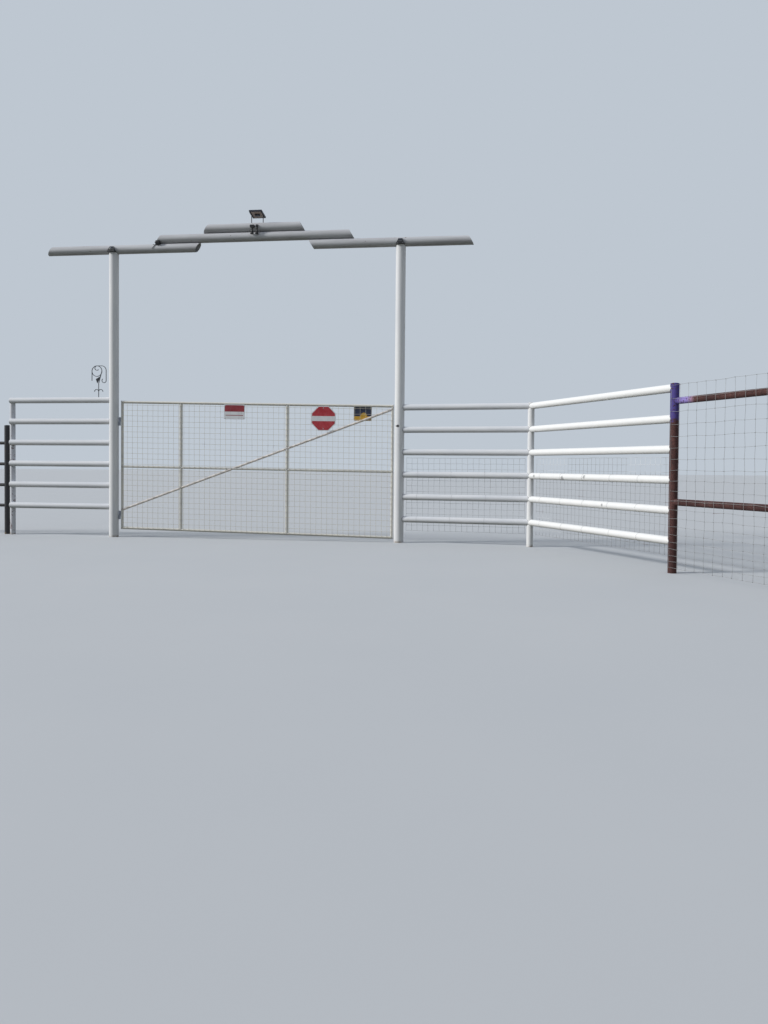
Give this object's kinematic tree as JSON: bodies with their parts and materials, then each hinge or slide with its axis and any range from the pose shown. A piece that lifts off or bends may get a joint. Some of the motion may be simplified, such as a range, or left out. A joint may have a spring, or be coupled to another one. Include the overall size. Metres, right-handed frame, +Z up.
{
  "type": "ranch entrance gateway",
  "caption": "Tall pipe gateway with a stepped arch, a mesh-filled swing gate between the posts, and pipe rail and wire fence wings on both sides.",
  "frame": {"origin": "centre of the left gate post's foot, on the ground", "axes": "+X along the closed gate towards its latch post, +Y away from the road, +Z up"},
  "size_m": [15.4881, 5.7248, 6.0675],
  "materials": {
    "white_paint": "weathered matte white paint",
    "gate_paint": "weathered light grey paint",
    "mesh_paint": "dull pale paint over wire",
    "dark_steel": "dark weathered steel",
    "net_wire": "dull galvanised wire",
    "rusty_steel": "rusted steel pipe",
    "black_paint": "worn black paint",
    "solar_panel": "dark cells in a dark frame",
    "black_plastic": "faded black"
  },
  "bodies": {
    "gateway": {"left_gate_post": "white_paint", "right_gate_post": "white_paint", "arch_pipe_left": "white_paint", "arch_pipe_right": "white_paint", "arch_pipe_middle": "white_paint", "arch_pipe_top": "white_paint", "left_post_light": "black_plastic", "right_post_light": "black_plastic", "lower_hinge_pin": "dark_steel", "upper_hinge_pin": "dark_steel", "left_lamp": "black_plastic", "right_lamp": "black_plastic", "solar_panel": "solar_panel", "solar_panel_stand": "dark_steel", "scroll_ornament": "dark_steel", "left_end_post": "white_paint", "left_wing_rails": "white_paint", "right_line_post": "white_paint", "right_wing_rails_1": "white_paint", "right_wing_rails_2": "white_paint", "right_net_1": "net_wire", "right_net_2": "net_wire", "right_net_3": "net_wire", "brace_post_near": "rusty_steel", "brace_post_far": "rusty_steel", "brace_top_rail": "rusty_steel", "brace_mid_rail": "rusty_steel", "high_net": "net_wire", "black_post_near": "black_paint", "black_post_far": "black_paint", "black_rails": "black_paint"},
    "gate_leaf": {"gate_top_rail": "gate_paint", "gate_bottom_rail": "gate_paint", "gate_hinge_stile": "gate_paint", "gate_latch_stile": "gate_paint", "gate_mid_rail": "gate_paint", "gate_upright_1": "gate_paint", "gate_upright_2": "gate_paint", "gate_brace": "gate_paint", "lower_hinge_barrel": "dark_steel", "upper_hinge_barrel": "dark_steel", "gate_mesh_1": "mesh_paint", "gate_mesh_2": "mesh_paint", "gate_mesh_3": "mesh_paint", "gate_mesh_4": "mesh_paint"}
  },
  "joints": [
    {"name": "gate_swing", "type": "hinge", "parent": "gateway", "child": "gate_leaf", "pos_m": [0.116, 0, 1.3], "axis": [0, 0, 1], "range_deg": [0, 95]}
  ]
}
